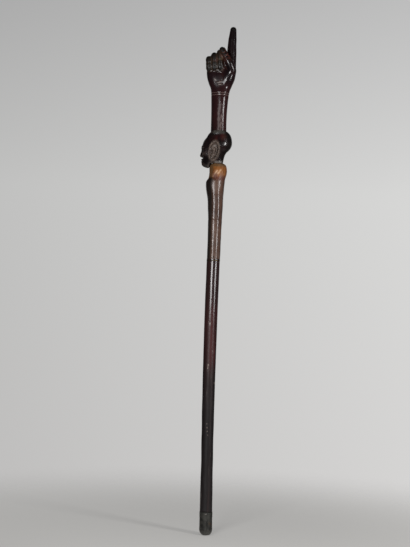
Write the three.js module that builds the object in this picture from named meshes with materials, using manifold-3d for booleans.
// A carved wooden walking cane that comes apart at a screw joint near its middle.
// Millimetres, +Z up along the cane. The origin is the middle of the tip's worn flat.
// The carving is seen from -Y, with the raised finger on the +X side.
import * as THREE from "three";
import { mergeVertices } from "three/addons/utils/BufferGeometryUtils.js";
import Module from "manifold-3d";

const wasm = await Module();
wasm.setup();

// Driving dimensions
const seatGap = 0.3; // glue line between a piece and the seat it stands in
const pinGap = 0.12; // round a small pin or tack in its hole
const turnGap = 0.2; // between the faces that turn on each other at the joint
const facets = 28; // sides of a round section

const bowDepth = 3.5; // how far the shaft sags to -X between the tip and the neck

const ferruleHeight = 44;
const ferruleRadius = 12.4;
const ferruleWall = 0.9;
const ferruleFloor = 4;
const ferruleRound = 12; // height of the round at its foot
const tipFlatRadius = 4.5;

const lowerShaftTop = 517; // height of the joint above the ground
const jointRadius = 12.4;
const midShaftRadius = 12.2;
const ankleRadius = 11.3; // thinnest place of the lower shaft, above the ferrule

const ringThickness = 2.4;
const ringLip = 0.5; // how far the ring stands proud of the shafts

const threadRadius = 5.5;
const threadPitch = 2.5;
const threadDepth = 1.3;
const threadTurns = 9.6;
const threadGap = 0.3; // running clearance between stud and insert
const studShankRadius = 4.5;
const studShankLength = 34;

const insertRadius = 8;
const insertFlangeRadius = 10;
const insertFlangeThickness = 1.5;
const insertLength = 30;
const insertNailRadius = 1.3;
const insertNailRise = 5.5; // of the nail above the foot of the upper shaft

const upperShaftLength = 181.5;
const upperWaistRadius = 12.8;
const upperKneeRadius = 17.2; // the swelling below the honey-coloured top
const capRadius = 16.7;
const kneeShift = 2.7; // the swelling stands out on the -X side only

const neckRadius = 9.8;
const neckRodRadius = 4;
const neckRodAbove = 20; // of the rod that is in the head
const neckRodBelow = 66; // of the rod that is in the shaft
const neckPinRadius = 1.6;
const neckPinDrop = 54.5; // of the pin below the top of the shaft
const neckPinShift = -1.6; // towards the swelling's side

const headLength = 60; // from the neck's foot to the crown
const headTurn = THREE.MathUtils.degToRad(10); // of the face, away from the viewer
const headSeatRise = 47; // of the forearm's seat above the neck's foot

const forearmX = -0.5; // it stands a little to the -X side of the neck
const forearmLength = 95;
const forearmRadius = 14.9;
const forearmWide = 1.07; // of the radius, from the front right to the back left
const forearmNarrow = 0.93; // of the radius, across that
const wristRadius = 16.9;
const dowelRadius = 5;
const dowelInForearm = 24;
const dowelInHead = 16;

const handLength = 71; // from the wrist to the middle knuckle
const fingerReach = 43; // of the raised finger above the fist

// Heights that follow from them
const ringFoot = lowerShaftTop + turnGap;
const upperFoot = ringFoot + ringThickness + turnGap;
const capTop = upperFoot + upperShaftLength;
const neckFoot = capTop + seatGap;
const headSeat = neckFoot + headSeatRise;
const forearmFoot = headSeat + seatGap;
const wrist = forearmFoot + forearmLength;
const threadLength = threadPitch * threadTurns;

const bow = (z) => -bowDepth * Math.sin((Math.PI * z) / capTop);
const jointX = bow(lowerShaftTop);
const pinHeight = capTop - neckPinDrop;
const nailHeight = upperFoot + insertNailRise;

// Materials
const wood = (color, roughness) => new THREE.MeshStandardMaterial({ color, roughness, metalness: 0 });
const metal = (color, roughness) => new THREE.MeshStandardMaterial({ color, roughness, metalness: 1 });
const darkHeartwood = wood(0x2a1315, 0.3);
const blackHeartwood = wood(0x1c1112, 0.25);
const honeyWood = wood(0x6e3f22, 0.35);
const stainedWood = wood(0x241613, 0.45);
const dowelWood = wood(0xb08a5a, 0.7);
const agedBrass = metal(0x8a6b3c, 0.45);
const greySteel = metal(0x6c6c6a, 0.4);
const patinatedIron = metal(0x2c302c, 0.6);

// Solids
const vec = (x, y, z) => new THREE.Vector3(x, y, z);

function solidOf(geometry) {
  const bare = geometry.clone();
  bare.deleteAttribute("normal");
  bare.deleteAttribute("uv");
  const merged = mergeVertices(bare, 1e-4);
  const vertProperties = new Float32Array(merged.attributes.position.array);
  const triVerts = new Uint32Array(merged.index.array);
  return new wasm.Manifold(new wasm.Mesh({ numProp: 3, vertProperties, triVerts }));
}

function meshOf(name, solid, material) {
  const { vertProperties, triVerts } = solid.getMesh();
  const geometry = new THREE.BufferGeometry();
  geometry.setAttribute("position", new THREE.BufferAttribute(vertProperties, 3));
  geometry.setIndex(new THREE.BufferAttribute(triVerts, 1));
  const mesh = new THREE.Mesh(geometry, material);
  mesh.name = name;
  return mesh;
}

const join = (...solids) => solids.reduce((whole, next) => whole.add(next));

// A closed skin over rings of points that all have the same count, counter-clockwise seen from the end.
function skin(rings) {
  const count = rings[0].length;
  const points = rings.flat();
  const foot = points.push(middleOf(rings[0])) - 1;
  const head = points.push(middleOf(rings.at(-1))) - 1;
  const last = (rings.length - 1) * count;
  const index = [];
  for (let i = 0; i < count; i++) {
    const j = (i + 1) % count;
    for (let row = 0; row < last; row += count)
      index.push(row + i, row + j, row + count + j, row + i, row + count + j, row + count + i);
    index.push(foot, j, i, head, last + i, last + j);
  }
  return solidOf(new THREE.BufferGeometry().setFromPoints(points).setIndex(index));
}

function middleOf(ring) {
  return ring.reduce((sum, point) => sum.add(point), vec(0, 0, 0)).divideScalar(ring.length);
}

// A level ellipse: height, half width, half depth, and its middle.
function level(z, halfWidth, halfDepth = halfWidth, x = 0, y = 0, sides = facets) {
  const at = (i) => (2 * Math.PI * i) / sides;
  return Array.from({ length: sides }, (_, i) =>
    vec(x + halfWidth * Math.cos(at(i)), y + halfDepth * Math.sin(at(i)), z),
  );
}

// A limb through the points, with a radius at each and rounded ends.
function limb(points, radii, { sides = 12, steps = 3, flatten = 1 } = {}) {
  const line = new THREE.CatmullRomCurve3(points);
  const count = (points.length - 1) * steps;
  const radiusAt = (t) => {
    const place = t * (radii.length - 1);
    const lower = Math.min(Math.floor(place), radii.length - 2);
    return THREE.MathUtils.lerp(radii[lower], radii[lower + 1], place - lower);
  };
  const first = line.getTangent(0);
  const side = vec(1, 0, 0).addScaledVector(first, -first.x);
  if (side.length() < 0.3) side.set(0, 1, 0).addScaledVector(first, -first.y);
  const ringAt = (t, shift, scale) => {
    const along = line.getTangent(t);
    const across = side.clone().addScaledVector(along, -side.dot(along)).normalize();
    const up = along.clone().cross(across);
    const centre = line.getPoint(t).addScaledVector(along, shift);
    return level(0, 1, 1, 0, 0, sides).map((p) =>
      centre
        .clone()
        .addScaledVector(across, p.x * radiusAt(t) * scale)
        .addScaledVector(up, p.y * radiusAt(t) * scale * flatten),
    );
  };
  const ends = [75, 45].map(THREE.MathUtils.degToRad);
  const rings = [
    ...ends.map((a) => ringAt(0, -radii[0] * Math.sin(a), Math.cos(a))),
    ...Array.from({ length: count + 1 }, (_, i) => ringAt(i / count, 0, 1)),
    ...ends.toReversed().map((a) => ringAt(1, radii.at(-1) * Math.sin(a), Math.cos(a))),
  ];
  return skin(rings);
}

function blob(centre, radii, { turn = 0, tilt = 0 } = {}) {
  const ball = new THREE.SphereGeometry(1, 18, 12).rotateX(Math.PI / 2);
  ball.scale(radii.x, radii.y, radii.z).rotateY(tilt).rotateZ(turn).translate(centre.x, centre.y, centre.z);
  return solidOf(ball);
}

function post(radius, foot, head, x = 0, sides = facets) {
  return skin([level(foot, radius, radius, x, 0, sides), level(head, radius, radius, x, 0, sides)]);
}

// A round bar along Y, from one depth to another.
function crossBar(radius, x, z, from, to) {
  const bar = new THREE.CylinderGeometry(radius, radius, to - from, 12);
  return solidOf(bar.translate(x, (from + to) / 2, z));
}

// A right-hand thread: the radius follows the height above the helix.
function threaded(radius, foot, length) {
  const sides = 16;
  const profile = [radius - threadDepth, radius - threadDepth, radius, radius];
  const rings = [];
  const rows = profile.length * (Math.ceil(length / threadPitch) + 3);
  for (let row = 0; row <= rows; row++) {
    rings.push(
      level(0, 1, 1, 0, 0, sides).map((p, i) => {
        const r = profile[row % profile.length];
        const z = foot + threadPitch * (row / profile.length - 2 + i / sides);
        return vec(jointX + p.x * r, p.y * r, z);
      }),
    );
  }
  return rings;
}

// The seam of a helix steps up one pitch, so the skin joins each row to the row one turn above.
function threadedPost(radius, foot, length) {
  const rings = threaded(radius, foot, length);
  const sides = rings[0].length;
  const perTurn = 4;
  const points = rings.flat();
  const index = [];
  const rows = rings.length - 1 - perTurn;
  const id = (row, i) => (i === sides ? (row + perTurn) * sides : row * sides + i);
  for (let row = 0; row < rows; row++)
    for (let i = 0; i < sides; i++) {
      index.push(id(row, i), id(row, i + 1), id(row + 1, i + 1));
      index.push(id(row, i), id(row + 1, i + 1), id(row + 1, i));
    }
  const foots = points.push(vec(jointX, 0, foot - 2 * threadPitch)) - 1;
  const heads = points.push(vec(jointX, 0, foot + threadPitch * (rows / perTurn))) - 1;
  for (let i = 0; i < sides; i++) {
    index.push(foots, id(0, i + 1), id(0, i));
    index.push(heads, id(rows, i), id(rows, i + 1));
  }
  for (let row = 0; row < perTurn; row++) {
    index.push(foots, row * sides, (row + 1) * sides);
    index.push(heads, (rows + row + 1) * sides, (rows + row) * sides);
  }
  return solidOf(new THREE.BufferGeometry().setFromPoints(points).setIndex(index));
}

const cane = new THREE.Group();
const add = (name, solid, material) => cane.add(meshOf(name, solid, material));

// Ferrule: a spun iron cup with a domed foot that is worn flat in the middle.
function ferruleShell() {
  const round = [0, 0.1, 0.32, 0.6, 1].map((share) =>
    level(share * ferruleRound, tipFlatRadius + (ferruleRadius - tipFlatRadius) * Math.sqrt(1 - (1 - share) ** 2)),
  );
  const outer = skin([
    ...round,
    level(ferruleHeight - 2, ferruleRadius, ferruleRadius, bow(ferruleHeight)),
    level(ferruleHeight, ferruleRadius - 0.3, ferruleRadius - 0.3, bow(ferruleHeight)),
  ]);
  const bore = ferruleRadius - ferruleWall;
  const hollow = skin([
    level(ferruleFloor, bore - 3),
    level(ferruleRound, bore),
    level(ferruleHeight + 1, bore, bore, bow(ferruleHeight)),
  ]);
  return outer.subtract(hollow);
}

const tackHeight = ferruleHeight - 3.5;
const tackShankRadius = 0.9;
const tackHeadRadius = 2;
const tackHeadThickness = 0.6;
const tackDepth = 6;

// A tack through the ferrule's wall, its head on the outside. Side is -1 in front and 1 at the back.
function tack(side, gap = 0) {
  const x = bow(ferruleHeight);
  const under = ferruleRadius + (gap ? 0 : pinGap);
  const point = under - ferruleWall - tackDepth - gap;
  const along = (radius, from, to) =>
    crossBar(radius, x, tackHeight, Math.min(side * from, side * to), Math.max(side * from, side * to));
  const shank = along(tackShankRadius + gap, point, under + 0.1);
  return gap ? shank : shank.add(along(tackHeadRadius, under, under + tackHeadThickness));
}

add("ferrule", ferruleShell().subtract(tack(-1, pinGap)).subtract(tack(1, pinGap)), patinatedIron);
add("ferrule_tack_front", tack(-1), greySteel);
add("ferrule_tack_back", tack(1), greySteel);

// Lower shaft: tapers a little to the ankle, with a tenon turned down to enter the ferrule.
function lowerShaft() {
  const tenon = ferruleRadius - ferruleWall - seatGap;
  const span = lowerShaftTop - ferruleHeight;
  const radiusAt = new THREE.SplineCurve([
    new THREE.Vector2(0, ankleRadius + 0.5),
    new THREE.Vector2(0.25, ankleRadius),
    new THREE.Vector2(0.7, midShaftRadius),
    new THREE.Vector2(1, jointRadius),
  ]);
  const shoulder = ferruleHeight + seatGap;
  const rows = 18;
  const rings = [
    level(ferruleFloor + seatGap, tenon - 3.4),
    level(ferruleRound + seatGap, tenon - 0.2, tenon - 0.2, bow(ferruleHeight) * 0.1),
    level(shoulder, tenon, tenon, bow(ferruleHeight)),
  ];
  for (let row = 0; row <= rows; row++) {
    const share = row / rows;
    const z = shoulder + share * (span - seatGap);
    const r = radiusAt.getPoint(share).y;
    rings.push(level(z + (row ? 0 : 0.01), r, r, bow(z)));
  }
  return skin(rings);
}

const studSocketFoot = lowerShaftTop - studShankLength - seatGap;
const studSocket = post(studShankRadius + seatGap, studSocketFoot, lowerShaftTop + 1, jointX);
add(
  "lower_shaft",
  lowerShaft().subtract(studSocket).subtract(tack(-1, pinGap)).subtract(tack(1, pinGap)),
  stainedWood,
);

// Joint: a stud with a coarse thread stands in the lower shaft.
// It screws into a brass insert in the upper one.
function jointStud() {
  const runOut = ringFoot + 0.4 * ringThickness; // the thread starts inside the ring
  const shank = post(studShankRadius, lowerShaftTop - studShankLength, runOut + 0.2, jointX);
  const envelope = post(threadRadius + 1, runOut, upperFoot + threadLength - 1, jointX);
  const point = skin([
    level(upperFoot + threadLength - 1.01, threadRadius - threadDepth, threadRadius - threadDepth, jointX),
    level(upperFoot + threadLength, threadRadius - threadDepth - 1, threadRadius - threadDepth - 1, jointX),
  ]);
  return join(shank, threadedPost(threadRadius, upperFoot, threadLength).intersect(envelope), point);
}
add("joint_stud", jointStud(), greySteel);

const ringRadius = jointRadius + ringLip;
const ringBore = threadRadius + seatGap;
add(
  "joint_ring",
  skin([
    level(ringFoot, ringRadius - 0.4, ringRadius - 0.4, jointX),
    level(ringFoot + 0.5, ringRadius, ringRadius, jointX),
    level(ringFoot + ringThickness - 0.5, ringRadius, ringRadius, jointX),
    level(ringFoot + ringThickness, ringRadius - 0.4, ringRadius - 0.4, jointX),
  ]).subtract(post(ringBore, ringFoot - 1, ringFoot + ringThickness + 1, jointX)),
  agedBrass,
);

// The insert, or the room for it once it is grown by the glue line.
function insertBody(grow) {
  const foot = grow ? upperFoot - 1 : upperFoot;
  const barrel = post(insertRadius + grow, foot, upperFoot + insertLength + grow, jointX);
  const flange = post(insertFlangeRadius + grow, foot, upperFoot + insertFlangeThickness + grow, jointX);
  return join(barrel, flange);
}

const nailBite = 1.2; // into the insert's wall
function insertNail(gap) {
  const head = gap ? -jointRadius - 2 : -jointRadius;
  return crossBar(insertNailRadius + gap, jointX, nailHeight, head, nailBite + gap - insertRadius);
}

const tapReach = post(threadRadius + 2, upperFoot - 1, upperFoot + threadLength + threadGap, jointX);
const tappedHole = threadedPost(threadRadius + threadGap, upperFoot, threadLength).intersect(tapReach);
add("socket_insert", insertBody(0).subtract(tappedHole).subtract(insertNail(pinGap)), agedBrass);
add("insert_nail", insertNail(0), greySteel);

// Upper shaft: slim at the joint, a one-sided swelling below a round-shouldered honey-coloured top.
function upperShaft() {
  const kneeRise = 141;
  const capRise = upperShaftLength - 9;
  const rows = [
    [0, jointRadius, 0],
    [20, jointRadius + 0.2, 0.2],
    [45, upperWaistRadius, 0],
    [78, upperWaistRadius + 0.4, -0.4],
    [98, upperWaistRadius + 1.4, -0.8],
    [118, upperWaistRadius + 2.4, -1.6],
    [130, upperWaistRadius + 3.6, -2.2],
    [kneeRise, upperKneeRadius, -kneeShift],
    [150, upperKneeRadius, -kneeShift * 0.75],
    [158, capRadius + 0.1, 0.1],
    [capRise - 7.5, capRadius + 0.3, 1.2],
    [capRise - 1.5, capRadius + 0.4, 1.2],
    [capRise + 3, capRadius - 0.5, 1.1],
    [capRise + 6.5, capRadius - 2.7, 0.8],
    [upperShaftLength, capRadius - 6.1, 0.5],
  ];
  return skin(
    rows.map(([rise, radius, shift]) => {
      const x = rise === 0 ? jointX : bow(upperFoot + rise) + shift;
      return level(upperFoot + rise, radius, radius, x);
    }),
  );
}

const rodFoot = capTop - neckRodBelow;
const neckRod = (gap) => post(neckRodRadius + gap, rodFoot - gap, neckFoot + neckRodAbove + gap);
const pinReach = upperKneeRadius - 1.4;
const pinBore = crossBar(neckPinRadius + pinGap, neckPinShift, pinHeight, -2 * pinReach, 2 * pinReach);
const upperShaftHoles = join(insertBody(seatGap), insertNail(pinGap), neckRod(seatGap), pinBore);
add("upper_shaft", upperShaft().subtract(upperShaftHoles), honeyWood);
add("neck_rod", neckRod(0).subtract(pinBore), greySteel);
add("neck_pin", crossBar(neckPinRadius, neckPinShift, pinHeight, -pinReach, pinReach), greySteel);

// Head: a small head in profile that faces -X, turned a little away, on a slim neck.
// Places on it are given forward, to its left side, and up from the neck's foot, and its
// places and radii are in hundredths of its length.
const headUnit = headLength / 100;
const facing = vec(-Math.cos(headTurn), Math.sin(headTurn), 0);
const leftward = vec(-Math.sin(headTurn), -Math.cos(headTurn), 0);
function onHead(forward, left, up) {
  return vec(0, 0, neckFoot + up * headUnit)
    .addScaledVector(facing, forward * headUnit)
    .addScaledVector(leftward, left * headUnit);
}
function headBlob(forward, left, up, radii, tilt = 0) {
  return blob(onHead(forward, left, up), radii.multiplyScalar(headUnit), { turn: -headTurn, tilt });
}
const headLimb = (points, radii, options) => limb(points, radii.map((r) => r * headUnit), options);

// A level section of the forearm: an ellipse that becomes the forearm's oval as ovalShare goes to 1.
function armLevel(z, halfWidth, halfDepth, x, y = 0, ovalShare = 1) {
  return level(z, 1).map((p) => {
    const plain = 1 / Math.hypot(p.x / halfWidth, p.y / halfDepth);
    const along = (p.x - p.y) * Math.SQRT1_2;
    const across = (p.x + p.y) * Math.SQRT1_2;
    const oval = halfWidth / Math.hypot(along / forearmWide, across / forearmNarrow);
    const reach = THREE.MathUtils.lerp(plain, oval, ovalShare);
    return vec(x + reach * p.x, y + reach * p.y, z);
  });
}

function headKnob() {
  const skull = headBlob(5, 0, 59.2, vec(46.7, 40, 36.7), THREE.MathUtils.degToRad(-20));
  const nape = headBlob(-14.3, 0, 64, vec(28.7, 29.2, 28.7));
  const crown = headBlob(-7.5, 0, 78.3, vec(32.5, 33.3, 24.2));
  const jawLine = [onHead(21.2, 0, 41.7), onHead(32.7, 0, 20), onHead(40, 0, 4)];
  const jaw = headLimb(jawLine, [32.5, 24.3, 16], { sides: 18 });
  const cheeks = headBlob(14.2, 0, 30, vec(28.3, 30.8, 25.8));
  const browLine = [onHead(43.3, 18.3, 50), onHead(49, 0, 51.7), onHead(43.3, -18.3, 50)];
  const brow = headLimb(browLine, [3.7, 4.7, 3.7]);
  const nose = headLimb([onHead(49.3, 0, 48.3), onHead(53.3, 0, 33.3), onHead(54, 0, 22.5)], [3.3, 4.3, 6]);
  const lipLine = [onHead(49.2, 9.2, 7.5), onHead(54.3, 0, 7.5), onHead(49.2, -9.2, 7.5)];
  const lips = headLimb(lipLine, [3, 4.3, 3]);
  const eyes = [13.3, -13.3].map((left) => headBlob(45.3, left, 42.5, vec(6, 8.3, 4.7)));
  const neck = skin([
    level(neckFoot, neckRadius + 0.6),
    level(neckFoot + 5 * headUnit, neckRadius),
    level(neckFoot + 36.7 * headUnit, neckRadius + 2),
  ]);
  const ears = [1, -1].map((side) => {
    const rim = headBlob(6.7, side * 35, 37.5, vec(16.7, 8.3, 32.5));
    return rim.subtract(headBlob(7, side * 44, 38.5, vec(10.5, 6, 23)));
  });
  const whole = join(skull, nape, jaw, cheeks, brow, nose, lips, neck, crown, ...eyes, ...ears);
  const capRoom = post(capRadius + 1, neckFoot - 2 * forearmLength, neckFoot);
  const seatRadius = forearmRadius + seatGap;
  const forearmSeat = skin([
    armLevel(headSeat, seatRadius, seatRadius, forearmX),
    armLevel(headSeat + headLength, seatRadius, seatRadius, forearmX),
  ]);
  const dowelHole = post(dowelRadius + seatGap, dowelFoot - seatGap, headSeat + 1, forearmX);
  return whole.subtract(capRoom).subtract(forearmSeat).subtract(dowelHole).subtract(neckRod(seatGap));
}

const dowelFoot = headSeat - dowelInHead;
const dowelTop = forearmFoot + dowelInForearm;
add("head_knob", headKnob(), blackHeartwood);
add("forearm_dowel", post(dowelRadius, dowelFoot, dowelTop, forearmX), dowelWood);

// Hand: seen from the palm side. Places on it rise from the wrist, and its places and radii
// are in hundredths of its length.
const handUnit = handLength / 100;
const onHand = (x, y, rise) => vec(x * handUnit, y * handUnit, wrist + rise * handUnit);
const handBlob = (centre, radii, options) => blob(centre, radii.multiplyScalar(handUnit), options);
const handLimb = (points, radii, options) => limb(points, radii.map((r) => r * handUnit), options);

function forearm() {
  const bare = [
    [0, 0, 0],
    [0.36, -0.3, -0.4],
    [0.65, 0.6, -0.2],
  ].map(([share, wider, shift]) => {
    const radius = forearmRadius + wider;
    return armLevel(forearmFoot + share * forearmLength, radius, radius, forearmX + shift);
  });
  const underWrist = wrist - 0.13 * forearmLength;
  const wristLevel = armLevel(underWrist, wristRadius, wristRadius - 1.5, forearmX + 0.4, 0, 0.5);
  // Rise, half width, half depth, and the middle's place, up to the knuckles.
  const palm = [
    [-2.8, 26.1, 21.1, 0.4, 0.7],
    [8.5, 29.7, 21.5, -0.4, 1.4],
    [21.1, 34.2, 22.5, 0, 1.4],
    [35.2, 37.3, 22.4, 0.3, 2.8],
    [50.7, 38.7, 20.3, 0.3, 4.9],
    [64.8, 37, 17.5, -0.8, 6.5],
    [73.2, 31.5, 13.2, 0.8, 7.7],
    [80.3, 22.4, 9, 2.8, 8.7],
    [83.8, 11.1, 4.8, 4.2, 9.3],
  ].map((row) => {
    const [rise, halfWidth, halfDepth, x, y] = row.map((value) => value * handUnit);
    return level(wrist + rise, halfWidth, halfDepth, x, y);
  });
  return skin([...bare, wristLevel, ...palm]);
}

// A finger folded into the palm: knuckle, first joint, second joint, tip.
function foldedFinger(x, top, radius, foot) {
  const root = onHand(x * 0.5, 7, 25.4);
  const knuckle = onHand(x * 0.93, 12, top - radius - 4.2);
  const bend = onHand(x, -14.8, top - radius);
  const lower = onHand(x + 0.8, -16.9, foot + radius);
  const tip = onHand(x + 1.4, -7, foot + radius - 2.1);
  const radii = [radius + 2.1, radius + 0.8, radius, radius - 0.6, radius - 1.4];
  return handLimb([root, knuckle, bend, lower, tip], radii);
}

function hand() {
  const fine = { steps: 4, sides: 14 };
  const reach = fingerReach / handUnit;
  const fingerLine = [
    onHand(25.9, 7, 50.7),
    onHand(27.3, 5.6, 93),
    onHand(27.5, 4.2, 93 + 0.6 * reach),
    onHand(29.6, 2.8, 95.8 + reach),
  ];
  const raised = handLimb(fingerLine, [13.8, 12.8, 11.3, 8.3], fine);
  const thumbLine = [
    onHand(19.7, -4.2, 19.7),
    onHand(28.2, -16.9, 46.5),
    onHand(17.6, -25.4, 70.4),
    onHand(2.1, -23.2, 97.9),
  ];
  const thumb = handLimb(thumbLine, [14.8, 12.1, 10.4, 8.7], fine);
  const pad = handBlob(onHand(16.9, -11.3, 31), vec(13.4, 12.7, 22.5), { tilt: 0.35 });
  const heel = handBlob(onHand(-18.3, -5.6, 23.9), vec(13.4, 14.8, 21.1), { tilt: -0.25 });
  const fist = handBlob(onHand(-7, -4.2, 64.8), vec(33.8, 18.3, 28.2), { tilt: 0.2 });
  // Each finger's place across the fist, its knuckle's height, its radius and its tip's height.
  const folded = [
    [-3.5, 100, 9, 45.1],
    [-18.7, 91.5, 8.7, 43.7],
    [-32.8, 81.7, 8.3, 42.3],
  ];
  return join(forearm(), fist, raised, thumb, pad, heel, ...folded.map((finger) => foldedFinger(...finger)));
}

const forearmDowelHole = post(dowelRadius + seatGap, forearmFoot - 1, dowelTop + seatGap, forearmX);
add("hand_and_forearm", hand().subtract(forearmDowelHole), darkHeartwood);

export default cane;
